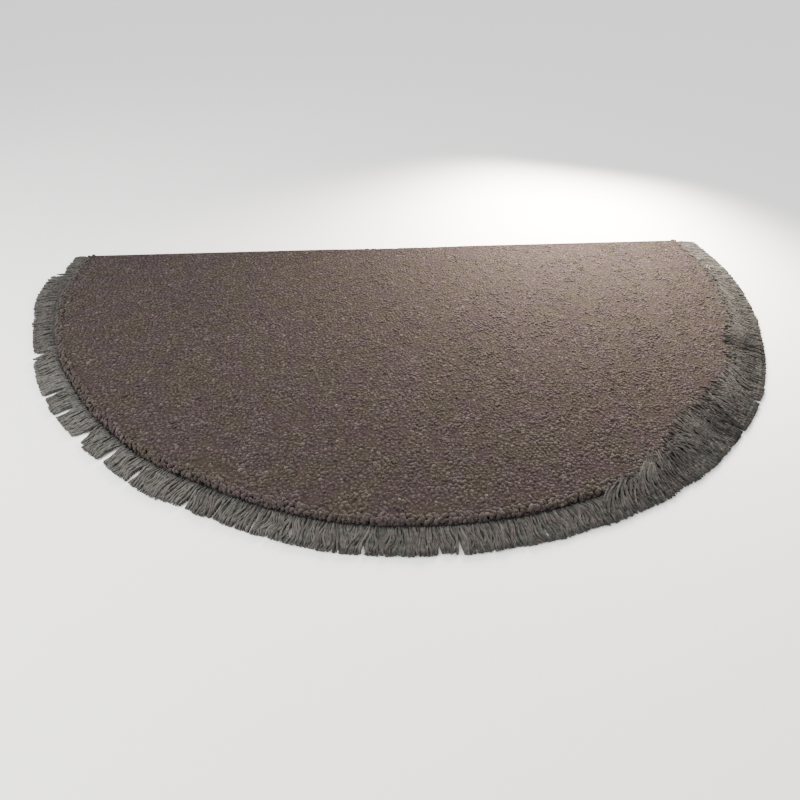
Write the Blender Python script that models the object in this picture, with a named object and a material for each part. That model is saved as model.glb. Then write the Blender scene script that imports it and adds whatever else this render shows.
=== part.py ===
"""Half-round hooked rug with a yarn fringe, modelled at its real size.

Metres, +Z up. The origin is on the floor under the middle of the rug. The straight back
edge runs along X on the +Y side, and the round edge faces -Y. Each piece is modelled
around the centre of the round edge, and its object is then placed there. Angles run from
+X round the front to -X.
"""
import math
import random

import bmesh
import bpy
from mathutils import Vector, noise

# Outline: a circle cut off by the straight back edge a little behind its centre
PILE_RADIUS = 0.643
FRINGE_REACH = 0.0417
BACK_BEHIND_CENTRE = 0.0776
RUG_DEPTH = PILE_RADIUS + FRINGE_REACH + BACK_BEHIND_CENTRE
CENTRE_Y = RUG_DEPTH / 2 - BACK_BEHIND_CENTRE
GAP = 0.00035
RIM_STEPS = 288

# How far the round edge stands out from the circle
RIM_UNEVEN = (
    # angle in degrees, offset
    (-8, 0.0),
    (4, -0.001),
    (17, -0.005),
    (30, -0.004),
    (43, -0.001),
    (55, -0.003),
    (67, 0.002),
    (80, 0.001),
    (104, 0.002),
    (110, -0.001),
    (119, -0.005),
    (128, -0.002),
    (138, -0.004),
    (147, -0.005),
    (156, -0.002),
    (164, 0.001),
    (172, 0.004),
    (182, 0.001),
    (188, 0.0),
)

# Foundation cloth, with the hem that is turned over along the back edge
CLOTH_INSET = 0.003
CLOTH_RADIUS = PILE_RADIUS - CLOTH_INSET
CLOTH_THICKNESS = 0.002
HEM_SECTION = (
    # distance in front of the back edge, height of the top
    (0.0, 0.0022),
    (0.0006, 0.0034),
    (0.0018, 0.0040),
    (0.0032, 0.0036),
    (0.0046, CLOTH_THICKNESS),
)
HEM_WIDTH = HEM_SECTION[-1][0]

# Hooked pile: one low slab with a rounded rim and a gently lumpy top
PILE_THICKNESS = 0.0096
PILE_BACK = BACK_BEHIND_CENTRE - HEM_WIDTH - GAP
PILE_RIM_SECTION = (
    # inset from the rim, share of the thickness
    (0.0045, 0.0),
    (0.0015, 0.14),
    (0.0, 0.42),
    (0.0010, 0.70),
    (0.0045, 0.90),
    (0.0120, 1.0),
)
PILE_BACK_SECTION = (
    # distance in front of the pile's back, share of the height kept
    (0.0, 0.68),
    (0.0035, 0.90),
    (0.0100, 1.0),
)
PILE_STEPS = 144
PILE_RING_SPACING = 0.046
LUMP_SHARE = 0.85
LUMP_SPREAD = 0.075
LUMP_HEIGHT = 0.0011

# Fringe: a heading strip just outside the cloth, and the locks that grow from it
LOCK_COUNT = 252
HEADING_INNER = CLOTH_RADIUS + GAP
HEADING_WIDTH = 0.006
HEADING_OUTER = HEADING_INNER + HEADING_WIDTH
HEADING_THICKNESS = CLOTH_THICKNESS
FRINGE_RADIUS = PILE_RADIUS + FRINGE_REACH
LOCK_LENGTH = FRINGE_RADIUS - HEADING_OUTER
LOCK_ROOT_WIDTH = 0.0068
LOCK_STAGES = (
    # share of the length, width, height, share of the side lean
    (0.42, 0.0074, 0.0052, 0.30),
    (1.0, 0.0068, 0.0032, 1.0),
)
LOCK_HEIGHT_JITTER = 0.0005
LOCK_WIDTH_JITTER = 0.0002
LOCK_LENGTH_JITTER = 0.0018
LOCK_LEAN_JITTER = 0.0003
LOCK_SEED = 7

# How much longer the locks are than LOCK_LENGTH
LOCK_UNEVEN = (
    # angle in degrees, extra length
    (-8, 0.0055),
    (4, 0.0070),
    (17, 0.0078),
    (30, 0.0045),
    (43, 0.0045),
    (56, 0.0062),
    (66, 0.0005),
    (80, -0.0005),
    (104, -0.0010),
    (112, -0.0035),
    (118, 0.0),
    (124, 0.0005),
    (131, -0.0020),
    (140, 0.0010),
    (148, 0.0025),
    (156, -0.0035),
    (162, -0.0055),
    (168, -0.0025),
    (174, 0.0028),
    (179.6, 0.0042),
    (180.6, -0.0165),
    (184, -0.0120),
    (188, -0.0115),
)

# Where the locks part, and how much shorter the nearest ones are
PARTING_SPREAD = 0.045
SHORTENED_SPREAD = 0.012
PARTINGS = (
    # angle in degrees, opening between the tips, shortening
    (49.5, 0.003, 0.002),
    (63.5, 0.003, 0.002),
    (92.0, 0.004, 0.003),
    (116.2, 0.005, 0.004),
    (119.6, 0.005, 0.005),
    (127.2, 0.006, 0.001),
    (132.2, 0.006, 0.004),
    (137.4, 0.010, 0.011),
    (143.0, 0.005, 0.001),
    (147.4, 0.006, 0.003),
    (157.4, 0.008, 0.007),
    (180.3, 0.004, 0.0),
)

# Finishes
PILE_COLOUR = (0.215, 0.162, 0.138, 1.0)
FRINGE_COLOUR = (0.200, 0.188, 0.170, 1.0)
CLOTH_COLOUR = (0.260, 0.205, 0.140, 1.0)
YARN_ROUGHNESS = 0.95
SMOOTH_ANGLE = math.radians(40)


def table_value(rows, position):
    """Read a two-column table at a position, easing from each row to the next."""
    if position <= rows[0][0]:
        return rows[0][1]
    for (low, low_value), (high, high_value) in zip(rows, rows[1:]):
        if position <= high:
            share = (position - low) / (high - low)
            eased = share * share * (3 - 2 * share)
            return low_value + (high_value - low_value) * eased
    return rows[-1][1]


def rim_point(angle, radius, height):
    """A point at an angle round the front, a radius from the centre and a height."""
    return Vector((radius * math.cos(angle), -radius * math.sin(angle), height))


def rim_angle(point):
    """The angle of a point, from just below 0 at the right corner to just over 180 degrees."""
    angle = math.atan2(-point.y, point.x)
    if angle < -math.pi / 2:
        angle += math.tau
    return angle


def rim_radius(point):
    """The distance of a point from the centre of the round edge."""
    return math.hypot(point.x, point.y)


def make_rim_uneven(mesh):
    """Stretch a piece outward or inward so that its round edge is as uneven as the real one."""
    for corner in mesh.verts:
        offset = table_value(RIM_UNEVEN, math.degrees(rim_angle(corner.co)))
        stretch = 1 + offset / PILE_RADIUS
        corner.co.x *= stretch
        corner.co.y *= stretch


def cut_straight_back(mesh, back):
    """Cut the piece off at its straight back edge and close the cut."""
    everything = mesh.verts[:] + mesh.edges[:] + mesh.faces[:]
    bmesh.ops.bisect_plane(
        mesh, geom=everything, plane_co=(0, back, 0), plane_no=(0, 1, 0), clear_outer=True)
    open_edges = [edge for edge in mesh.edges if edge.is_boundary]
    bmesh.ops.holes_fill(mesh, edges=open_edges, sides=0)


def add_lines_beside_back(mesh, back, rows):
    """Add lines across the piece, parallel to its back edge, at a table's distances."""
    for distance, _ in rows[1:]:
        everything = mesh.verts[:] + mesh.edges[:] + mesh.faces[:]
        bmesh.ops.bisect_plane(
            mesh, geom=everything, plane_co=(0, back - distance, 0), plane_no=(0, 1, 0))


def make_material(name, colour):
    """A plain yarn or cloth finish."""
    material = bpy.data.materials.new(name)
    material.use_nodes = True
    shader = material.node_tree.nodes["Principled BSDF"]
    shader.inputs["Base Color"].default_value = colour
    shader.inputs["Roughness"].default_value = YARN_ROUGHNESS
    shader.inputs["Metallic"].default_value = 0.0
    return material


def make_object(name, mesh, height, colour, parent):
    """Turn a bmesh into a named object at the centre of the round edge."""
    bmesh.ops.recalc_face_normals(mesh, faces=mesh.faces)
    data = bpy.data.meshes.new(name)
    mesh.to_mesh(data)
    mesh.free()
    data.shade_smooth()
    data.set_sharp_from_angle(angle=SMOOTH_ANGLE)
    data.materials.append(make_material(name, colour))
    piece = bpy.data.objects.new(name, data)
    piece.location = (0, CENTRE_Y, height)
    piece.parent = parent
    parent.users_collection[0].objects.link(piece)
    return piece


def make_foundation(parent):
    """The woven cloth that everything is worked on, with its hem along the back edge."""
    mesh = bmesh.new()
    disc = bmesh.ops.create_circle(mesh, cap_ends=True, segments=RIM_STEPS, radius=CLOTH_RADIUS)
    raised = bmesh.ops.extrude_face_region(mesh, geom=disc["verts"][0].link_faces[:])
    top = [item for item in raised["geom"] if isinstance(item, bmesh.types.BMVert)]
    bmesh.ops.translate(mesh, vec=(0, 0, CLOTH_THICKNESS), verts=top)
    make_rim_uneven(mesh)
    cut_straight_back(mesh, BACK_BEHIND_CENTRE)
    add_lines_beside_back(mesh, BACK_BEHIND_CENTRE, HEM_SECTION)
    for corner in mesh.verts:
        distance = BACK_BEHIND_CENTRE - corner.co.y
        if corner.co.z > CLOTH_THICKNESS / 2 and distance < HEM_WIDTH:
            corner.co.z = table_value(HEM_SECTION, distance)
    return make_object("foundation", mesh, 0, CLOTH_COLOUR, parent)


def pile_profile():
    """Half of the pile's section: along its underside, up its rim and back to the centre."""
    points = [Vector((0, 0, 0))]
    for inset, share in PILE_RIM_SECTION:
        points.append(Vector((PILE_RADIUS - inset, 0, PILE_THICKNESS * share)))
    flat_radius = points[-1].x
    rings = round(flat_radius / PILE_RING_SPACING)
    for ring in range(rings - 1, -1, -1):
        points.append(Vector((flat_radius * ring / rings, 0, PILE_THICKNESS)))
    return points


def shape_pile_top(mesh):
    """Give the top its gentle lumps and round it down to the straight back."""
    for corner in mesh.verts:
        if corner.co.z > PILE_THICKNESS * LUMP_SHARE:
            place = Vector((corner.co.x, corner.co.y, 0)) / LUMP_SPREAD
            corner.co.z += LUMP_HEIGHT * noise.noise(place)
        corner.co.z *= table_value(PILE_BACK_SECTION, PILE_BACK - corner.co.y)


def make_pile(parent):
    """The hooked loops as one low slab, resting on the cloth."""
    mesh = bmesh.new()
    points = [mesh.verts.new(point) for point in pile_profile()]
    lines = [mesh.edges.new(pair) for pair in zip(points, points[1:])]
    bmesh.ops.spin(
        mesh, geom=points + lines, cent=(0, 0, 0), axis=(0, 0, 1),
        angle=math.tau, steps=PILE_STEPS, use_merge=True)
    bmesh.ops.remove_doubles(mesh, verts=mesh.verts, dist=0.0001)
    make_rim_uneven(mesh)
    cut_straight_back(mesh, PILE_BACK)
    add_lines_beside_back(mesh, PILE_BACK, PILE_BACK_SECTION)
    shape_pile_top(mesh)
    return make_object("hooked_pile", mesh, CLOTH_THICKNESS + GAP, PILE_COLOUR, parent)


def lock_angles():
    """The angle of each lock's root, from the right corner to the left one."""
    half_width = LOCK_STAGES[0][1] / 2 / FRINGE_RADIUS
    corner_radius = FRINGE_RADIUS + LOCK_UNEVEN[0][1]
    corner = math.asin(BACK_BEHIND_CENTRE / corner_radius)
    first = half_width + LOCK_LEAN_JITTER / FRINGE_RADIUS - corner
    step = (math.pi - 2 * first) / (LOCK_COUNT - 1)
    return [first + step * number for number in range(LOCK_COUNT)]


def heading_angles(angles):
    """Angles of the strip's cross-sections: its two ends, and each side of each root."""
    end = math.asin(BACK_BEHIND_CENTRE / HEADING_OUTER)
    half_root = LOCK_ROOT_WIDTH / 2 / HEADING_OUTER
    sections = [-end]
    for angle in angles:
        sections.append(angle - half_root)
        sections.append(angle + half_root)
    sections.append(math.pi + end)
    return sections


def make_heading(angles):
    """Spin the strip's section round the edge, then slide its cross-sections to the roots."""
    mesh = bmesh.new()
    sections = heading_angles(angles)
    corners = (
        (HEADING_INNER, 0), (HEADING_OUTER, 0),
        (HEADING_OUTER, HEADING_THICKNESS), (HEADING_INNER, HEADING_THICKNESS))
    start = [mesh.verts.new(rim_point(sections[0], radius, height)) for radius, height in corners]
    sides = [mesh.edges.new((start[number - 1], start[number])) for number in range(len(start))]
    steps = len(sections) - 1
    sweep = sections[-1] - sections[0]
    bmesh.ops.spin(
        mesh, geom=start + sides, cent=(0, 0, 0), axis=(0, 0, -1), angle=sweep, steps=steps)
    bmesh.ops.holes_fill(mesh, edges=[edge for edge in mesh.edges if edge.is_boundary], sides=4)
    for corner in mesh.verts:
        turned = (rim_angle(corner.co) - sections[0]) / sweep
        section = sections[round(turned * steps)]
        corner.co = rim_point(section, rim_radius(corner.co), corner.co.z)
    return mesh


def root_faces(mesh, angles):
    """The outer faces of the strip that locks grow from, each with its lock's number."""
    half_root = LOCK_ROOT_WIDTH / 2 / HEADING_OUTER
    roots = []
    for face in mesh.faces:
        middle = face.calc_center_median()
        if all(rim_radius(corner.co) > HEADING_OUTER - HEADING_WIDTH / 2 for corner in face.verts):
            number = min(range(LOCK_COUNT), key=lambda lock: abs(angles[lock] - rim_angle(middle)))
            if abs(angles[number] - rim_angle(middle)) < half_root / 2:
                roots.append((number, face))
    return roots


def side_lean(angle):
    """How far a lock's tip leans along the edge, away from the partings near it."""
    lean = 0.0
    for parting, opening, _ in PARTINGS:
        distance = (angle - math.radians(parting)) * FRINGE_RADIUS
        lean += math.copysign(opening / 2, distance) * math.exp(-abs(distance) / PARTING_SPREAD)
    return lean


def shortening(angle):
    """How much shorter a lock is beside a parting."""
    total = 0.0
    for parting, _, shorter in PARTINGS:
        distance = (angle - math.radians(parting)) * FRINGE_RADIUS
        total += shorter * math.exp(-(distance / SHORTENED_SPREAD) ** 2)
    return total


def place_lock_end(face, angle, radius, width, height):
    """Move a lock's end face to its place, level on the floor and square to the radius."""
    middle = face.calc_center_median()
    middle_angle = rim_angle(middle)
    for corner in face.verts:
        side = 1 if rim_angle(corner.co) > middle_angle else -1
        level = height if corner.co.z > middle.z else 0
        corner.co = rim_point(angle + side * width / 2 / radius, radius, level)


def grow_lock(mesh, face, angle, chance):
    """Extrude one lock from its root face, stage by stage."""
    extra = table_value(LOCK_UNEVEN, math.degrees(angle))
    length = LOCK_LENGTH + extra - shortening(angle) - chance.uniform(0, LOCK_LENGTH_JITTER)
    lean = side_lean(angle) + chance.uniform(-LOCK_LEAN_JITTER, LOCK_LEAN_JITTER)
    for share, width, height, lean_share in LOCK_STAGES:
        face = bmesh.ops.extrude_discrete_faces(mesh, faces=[face])["faces"][0]
        radius = HEADING_OUTER + length * share
        wide = width + chance.uniform(-LOCK_WIDTH_JITTER, LOCK_WIDTH_JITTER)
        high = height + chance.uniform(-LOCK_HEIGHT_JITTER, LOCK_HEIGHT_JITTER)
        place_lock_end(face, angle + lean * lean_share / radius, radius, wide, high)


def make_fringe(parent):
    """The fringe: its heading strip and all its locks, fused at their roots."""
    angles = lock_angles()
    mesh = make_heading(angles)
    chance = random.Random(LOCK_SEED)
    for number, face in sorted(root_faces(mesh, angles), key=lambda root: root[0]):
        grow_lock(mesh, face, angles[number], chance)
    make_rim_uneven(mesh)
    return make_object("fringe", mesh, 0, FRINGE_COLOUR, parent)


def make_rug():
    """Clear the scene and build the rug's pieces in a collection of their own."""
    for leftover in list(bpy.data.objects):
        bpy.data.objects.remove(leftover)
    collection = bpy.data.collections.new("half_round_hooked_rug")
    bpy.context.scene.collection.children.link(collection)
    rug = bpy.data.objects.new("rug", None)
    collection.objects.link(rug)
    make_foundation(rug)
    make_pile(rug)
    make_fringe(rug)


make_rug()
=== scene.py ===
import math

import bmesh
import bpy
import numpy as np
from mathutils import Matrix, Vector


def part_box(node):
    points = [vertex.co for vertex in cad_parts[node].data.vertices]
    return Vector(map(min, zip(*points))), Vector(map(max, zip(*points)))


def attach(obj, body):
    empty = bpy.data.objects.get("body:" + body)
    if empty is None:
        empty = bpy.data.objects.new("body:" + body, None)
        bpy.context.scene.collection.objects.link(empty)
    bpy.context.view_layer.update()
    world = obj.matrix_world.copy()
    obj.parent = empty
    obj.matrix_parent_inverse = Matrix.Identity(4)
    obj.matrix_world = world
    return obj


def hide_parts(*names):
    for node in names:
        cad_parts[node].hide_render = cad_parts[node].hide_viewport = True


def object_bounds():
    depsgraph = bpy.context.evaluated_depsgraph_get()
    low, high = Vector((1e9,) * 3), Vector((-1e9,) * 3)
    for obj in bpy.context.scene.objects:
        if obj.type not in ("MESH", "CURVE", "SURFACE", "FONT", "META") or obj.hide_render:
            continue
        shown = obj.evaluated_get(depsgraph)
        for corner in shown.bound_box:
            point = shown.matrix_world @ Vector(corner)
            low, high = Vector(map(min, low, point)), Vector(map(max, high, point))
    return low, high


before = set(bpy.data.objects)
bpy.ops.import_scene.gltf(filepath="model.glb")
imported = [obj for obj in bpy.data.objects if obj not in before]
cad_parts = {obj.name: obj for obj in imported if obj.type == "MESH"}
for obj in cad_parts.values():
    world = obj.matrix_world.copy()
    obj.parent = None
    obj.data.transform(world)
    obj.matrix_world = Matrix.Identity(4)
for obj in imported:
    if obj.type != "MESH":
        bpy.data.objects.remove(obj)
cad_low, cad_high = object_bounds()

# Foundation cloth
# A plain-woven jute cloth, cut to a half round, that every loop is hooked through. Its straight
# back edge is turned over as a hem. On the underside the backs of the loops show in rows.
CLOTH_THREAD_PITCH = 0.0021
CLOTH_THREAD_DEPTH = 0.0005
CLOTH_DARK = (0.150, 0.112, 0.070, 1)
CLOTH_LIGHT = (0.330, 0.262, 0.175, 1)
CLOTH_ROUGHNESS = 0.92
CLOTH_SHEEN = 0.1
CLOTH_BUMP = 0.8
SLUB_SCALE = 220.0
SLUB_DETAIL = 4.0
SLUB_CONTRAST = 1.6
TEXTILE_SPECULAR = 0.1
SHEEN_ROUGHNESS = 0.5
UNDERSIDE_HEIGHT = 0.0004
STITCH_LENGTH = 0.0068
STITCH_ROW = 0.0063
STITCH_GAP = 0.0012
STITCH_DARK = (0.105, 0.078, 0.066, 1)
STITCH_LIGHT = (0.170, 0.128, 0.108, 1)


def add_node(tree, kind, values=None, **settings):
    """Add a shader node, with its settings and its unlinked inputs."""
    made = tree.nodes.new(kind)
    for name, value in settings.items():
        setattr(made, name, value)
    for name, value in (values or {}).items():
        made.inputs[name].default_value = value
    return made


def math_node(tree, operation, first, second=0.0):
    """Add a Math node that works on two sockets or numbers, and give back its result."""
    made = add_node(tree, "ShaderNodeMath", operation=operation)
    for place, value in enumerate((first, second)):
        if isinstance(value, bpy.types.NodeSocket):
            tree.links.new(value, made.inputs[place])
        else:
            made.inputs[place].default_value = value
    return made.outputs[0]


def scale_and_shift(tree, value, factor, shift):
    """Multiply a socket by a number and add another to it."""
    return math_node(tree, "ADD", math_node(tree, "MULTIPLY", value, factor), shift)


def mix_colours(tree, share, first, second):
    """Mix two colours, each a socket or a colour, by a socket's share."""
    made = add_node(tree, "ShaderNodeMix", data_type="RGBA")
    tree.links.new(share, made.inputs["Factor"])
    for name, value in (("A", first), ("B", second)):
        socket = [item for item in made.inputs if item.name == name and item.type == "RGBA"][0]
        if isinstance(value, bpy.types.NodeSocket):
            tree.links.new(value, socket)
        else:
            socket.default_value = value
    return [item for item in made.outputs if item.type == "RGBA"][0]


def object_place(tree):
    """The point on the piece, in metres."""
    return add_node(tree, "ShaderNodeTexCoord").outputs["Object"]


def noise_node(tree, place, scale, detail):
    """Soft noise from 0 to 1 at so many waves a metre."""
    made = add_node(tree, "ShaderNodeTexNoise", {"Scale": scale, "Detail": detail})
    tree.links.new(place, made.inputs["Vector"])
    return made.outputs["Fac"]


def new_material(name, roughness, sheen):
    """A matte textile finish with a soft sheen."""
    material = bpy.data.materials.new(name)
    material.use_nodes = True
    shader = material.node_tree.nodes["Principled BSDF"]
    shader.inputs["Roughness"].default_value = roughness
    shader.inputs["Specular IOR Level"].default_value = TEXTILE_SPECULAR
    shader.inputs["Sheen Weight"].default_value = sheen
    shader.inputs["Sheen Roughness"].default_value = SHEEN_ROUGHNESS
    return material, material.node_tree, shader


def bump_node(tree, height, strength, depth):
    """Bumps that stand a depth in metres where the height socket is 1."""
    made = add_node(tree, "ShaderNodeBump", {"Strength": strength, "Distance": depth})
    tree.links.new(height, made.inputs["Height"])
    return made


def weave_height(tree, place):
    """How high the crossing threads stand: warp and weft take turns on top."""
    axes = add_node(tree, "ShaderNodeSeparateXYZ")
    tree.links.new(place, axes.inputs[0])
    turns = [math_node(tree, "MULTIPLY", axes.outputs[axis], math.pi / CLOTH_THREAD_PITCH)
             for axis in ("X", "Y")]
    waves = [math_node(tree, "SINE", turn) for turn in turns]
    crossing = math_node(tree, "MULTIPLY", waves[0], waves[1])
    warp_on_top = math_node(tree, "GREATER_THAN", crossing, 0.0)
    warp = math_node(tree, "MULTIPLY", math_node(tree, "ABSOLUTE", waves[0]), warp_on_top)
    weft_on_top = math_node(tree, "SUBTRACT", 1.0, warp_on_top)
    weft = math_node(tree, "MULTIPLY", math_node(tree, "ABSOLUTE", waves[1]), weft_on_top)
    return math_node(tree, "ADD", warp, weft)


def cloth_material():
    """Jute weave with painted shade in the hollows between its threads, and brown stitches in rows on
    the underside only.
    """
    material, tree, shader = new_material("jute_cloth", CLOTH_ROUGHNESS, CLOTH_SHEEN)
    place = object_place(tree)
    height = weave_height(tree, place)
    slubs = noise_node(tree, place, SLUB_SCALE, SLUB_DETAIL)
    # Painted shade: the jute is mixed towards its dark colour where the threads dip between crossings,
    # and also in the slubs' own darker patches.
    shade = math_node(tree, "MULTIPLY", height, slubs)
    shade = math_node(tree, "MULTIPLY", shade, SLUB_CONTRAST)
    jute = mix_colours(tree, shade, CLOTH_DARK, CLOTH_LIGHT)
    stitches = add_node(
        tree, "ShaderNodeTexBrick",
        {"Scale": 1.0, "Mortar Size": STITCH_GAP / 2, "Brick Width": STITCH_LENGTH,
         "Row Height": STITCH_ROW, "Color1": STITCH_DARK, "Color2": STITCH_LIGHT})
    tree.links.new(place, stitches.inputs["Vector"])
    tree.links.new(jute, stitches.inputs["Mortar"])
    axes = add_node(tree, "ShaderNodeSeparateXYZ")
    tree.links.new(place, axes.inputs[0])
    underside = math_node(tree, "LESS_THAN", axes.outputs["Z"], UNDERSIDE_HEIGHT)
    colour = mix_colours(tree, underside, jute, stitches.outputs["Color"])
    tree.links.new(colour, shader.inputs["Base Color"])
    bump = bump_node(tree, height, CLOTH_BUMP, CLOTH_THREAD_DEPTH)
    tree.links.new(bump.outputs[0], shader.inputs["Normal"])
    return material


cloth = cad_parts["foundation"]
cloth.data.materials.clear()
cloth.data.materials.append(cloth_material())

# Hem stitching
# A jute thread that whips the turned hem down along the whole straight back edge, one slanted
# stitch after another. Each stitch is a short arch of thread over the hem's rounded fold.
BACK_BEHIND_CENTRE = 0.0776
HEM_STITCH_PITCH = 0.0085
HEM_STITCH_SLANT = 0.0030
HEM_THREAD_RADIUS = 0.00055
HEM_END_MARGIN = 0.006
HEM_THREAD_SIDES = 4
HEM_FIBRE_SCALE = 1400.0
HEM_FIBRE_DETAIL = 3.0
HEM_PLIES = 2
HEM_PLY_TURNS = 2.0
HEM_PLY_DEPTH = HEM_THREAD_RADIUS / 3
PLY_BUMP = 0.7
HEM_STITCH_PATH = (
    # distance in front of the back edge, height
    (0.0004, 0.0003),
    (-0.0001, 0.0022),
    (0.0009, 0.0040),
    (0.0022, 0.0042),
    (0.0040, 0.0030),
    (0.0046, 0.0021),
)
cloth_low, cloth_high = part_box("foundation")
CENTRE_Y = cloth_high.y - BACK_BEHIND_CENTRE


def straight_yarn(sides, rings):
    """One closed tube, raised ring by ring, as the pattern that every yarn is bent from."""
    pattern = bmesh.new()
    bmesh.ops.create_circle(pattern, cap_ends=True, segments=sides, radius=1)
    end = pattern.faces[:][0]
    for _ in range(rings - 1):
        end = bmesh.ops.extrude_discrete_faces(pattern, faces=[end])["faces"][0]
        bmesh.ops.translate(pattern, vec=(0, 0, 1), verts=end.verts)
    open_edges = [edge for edge in pattern.edges if edge.is_boundary]
    bmesh.ops.holes_fill(pattern, edges=open_edges, sides=sides)
    bmesh.ops.recalc_face_normals(pattern, faces=pattern.faces)
    return pattern


def yarn_uv(face, corner):
    """How far round and along the yarn a face's corner is, with the faces at the seam kept whole."""
    around = [math.atan2(point.co.y, point.co.x) / math.tau % 1.0 for point in face.verts]
    here = math.atan2(corner.co.y, corner.co.x) / math.tau % 1.0
    if max(around) - min(around) > 0.5 and here < 0.5:
        here += 1.0
    return here, corner.co.z


def add_piece(name, mesh):
    """Put a mesh into the scene as a piece of its own."""
    piece = bpy.data.objects.new(name, mesh)
    bpy.context.scene.collection.objects.link(piece)
    return piece


def bend_yarns(name, lines, across, half_width, half_depth, sides):
    """Join many yarns into one mesh, each the straight pattern bent along its own line.

    lines and across hold a point and a sideways direction for each ring of each yarn, and
    half_width and half_depth hold the yarn's half sizes there.
    """
    count, rings = lines.shape[:2]
    pattern = straight_yarn(sides, rings)
    corners = np.array([point.co for point in pattern.verts])
    ring = corners[:, 2].round().astype(int)
    along = np.gradient(lines, axis=1)
    along /= np.linalg.norm(along, axis=2, keepdims=True)
    across = across - along * (across * along).sum(axis=2, keepdims=True)
    across /= np.linalg.norm(across, axis=2, keepdims=True)
    upward = np.cross(along, across)
    points = (
        lines[:, ring]
        + across[:, ring] * (half_width[:, ring] * corners[:, 0])[..., None]
        + upward[:, ring] * (half_depth[:, ring] * corners[:, 1])[..., None])
    face_corners = np.array([point.index for face in pattern.faces for point in face.verts])
    face_sizes = np.array([len(face.verts) for face in pattern.faces])
    uv = np.array([yarn_uv(face, point) for face in pattern.faces for point in face.verts])
    pattern.free()
    mesh = bpy.data.meshes.new(name)
    mesh.vertices.add(points.shape[0] * points.shape[1])
    mesh.vertices.foreach_set("co", points.astype(np.float32).ravel())
    shifts = np.arange(count)[:, None] * len(corners)
    all_corners = (face_corners[None] + shifts).ravel()
    mesh.loops.add(len(all_corners))
    mesh.loops.foreach_set("vertex_index", all_corners.astype(np.int32))
    starts = np.concatenate([[0], np.cumsum(np.tile(face_sizes, count))[:-1]])
    mesh.polygons.add(len(starts))
    mesh.polygons.foreach_set("loop_start", starts.astype(np.int32))
    mesh.update(calc_edges=True)
    layer = mesh.uv_layers.new(name="yarn")
    layer.data.foreach_set("uv", np.tile(uv, (count, 1)).astype(np.float32).ravel())
    mesh.shade_smooth()
    return add_piece(name, mesh), ring


def set_attribute(piece, name, values):
    """Store one number for each point of a piece."""
    attribute = piece.data.attributes.new(name, "FLOAT", "POINT")
    attribute.data.foreach_set("value", np.asarray(values, np.float32).ravel())


def piece_points(piece):
    """All points of a piece, one to a row."""
    points = np.empty(len(piece.data.vertices) * 3, np.float32)
    piece.data.vertices.foreach_get("co", points)
    return points.reshape(-1, 3).astype(float)


def attribute_node(tree, name):
    """Read a number that is stored on the piece's points."""
    return add_node(tree, "ShaderNodeAttribute", attribute_name=name).outputs["Fac"]


def plied_bump(tree, turns, plies, depth):
    """Twist of the plies as slanted ridges round the yarn, from its own map: bump and height."""
    source = add_node(tree, "ShaderNodeUVMap", uv_map="yarn")
    axes = add_node(tree, "ShaderNodeSeparateXYZ")
    tree.links.new(source.outputs[0], axes.inputs[0])
    around = math_node(tree, "MULTIPLY", axes.outputs["X"], plies * math.tau)
    along = math_node(tree, "MULTIPLY", axes.outputs["Y"], turns * math.tau)
    ridge = math_node(tree, "SINE", math_node(tree, "ADD", around, along))
    return bump_node(tree, ridge, PLY_BUMP, depth), ridge


def hem_thread_material():
    """Waxed jute thread, a little lighter than the cloth."""
    material, tree, shader = new_material("hem_thread", CLOTH_ROUGHNESS, CLOTH_SHEEN)
    fibres = noise_node(tree, object_place(tree), HEM_FIBRE_SCALE, HEM_FIBRE_DETAIL)
    colour = mix_colours(tree, fibres, CLOTH_DARK, CLOTH_LIGHT)
    tree.links.new(colour, shader.inputs["Base Color"])
    bump, _ = plied_bump(tree, HEM_PLY_TURNS, HEM_PLIES, HEM_PLY_DEPTH)
    tree.links.new(bump.outputs[0], shader.inputs["Normal"])
    return material


def make_hem_stitches():
    """One slanted stitch after another along the back edge."""
    path = np.array(HEM_STITCH_PATH)
    first = cloth_low.x + HEM_END_MARGIN
    last = cloth_high.x - HEM_END_MARGIN
    starts = np.arange(first, last, HEM_STITCH_PITCH)
    lines = np.zeros((len(starts), len(path), 3))
    slant = np.linspace(0, HEM_STITCH_SLANT, len(path))
    lines[..., 0] = starts[:, None] + slant[None]
    lines[..., 1] = cloth_high.y - path[None, :, 0]
    lines[..., 2] = path[None, :, 1]
    across = np.zeros_like(lines)
    across[..., 0] = 1.0
    half = np.full(lines.shape[:2], HEM_THREAD_RADIUS)
    piece, _ = bend_yarns("hem_stitches", lines, across, half, half, HEM_THREAD_SIDES)
    piece.data.materials.append(hem_thread_material())
    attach(piece, "root")
    return piece


hem_stitches = make_hem_stitches()

# Hooked pile
# Wool yarn in a brown mix, pulled up through the cloth as short loops in close rows. A few rows
# follow the round edge, and their outer loops lean out over it. The rows between them wander.
PILE_SECTORS = 5
RIM_BIN = math.radians(2.5)
RIM_ROWS = (
    # inset from the rim, height of the feet, outward lean in degrees
    (0.0034, 0.0048, 88),
    (0.0038, 0.0072, 66),
    (0.0054, 0.0088, 42),
    (0.0080, 0.0092, 20),
    (0.0112, 0.0092, 6),
)
RIM_SPACING = 0.0055
RIM_LOOP_SIZE = 0.98
RIM_JITTER = 0.0024
RIM_INSET_JITTER = 0.0016
RIM_FEET_JITTER = 0.0007
BACK_ROWS = (
    # inset from the pile's back, height of the feet, outward lean in degrees
    (0.0044, 0.0040, 88),
    (0.0050, 0.0072, 55),
    (0.0084, 0.0085, 15),
)
LOOP_SPACING = 0.0060
ROW_SPACING = 0.0046
FIRST_ROW_INSET = 0.0130
FIELD_INSET = 0.0148
ROW_WANDER = 0.0065
ROW_WANDER_LENGTH = 0.16
ROW_DRIFT = 0.021
SLOW_WANDER = 0.6
SLOW_TURN = 2.7
SLOW_DRIFT = 0.043
SLOW_START = 1.0
STRAIGHT_ROWS = 8
LOOP_JITTER = 0.0015
RIM_TURN = math.radians(24)
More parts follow.
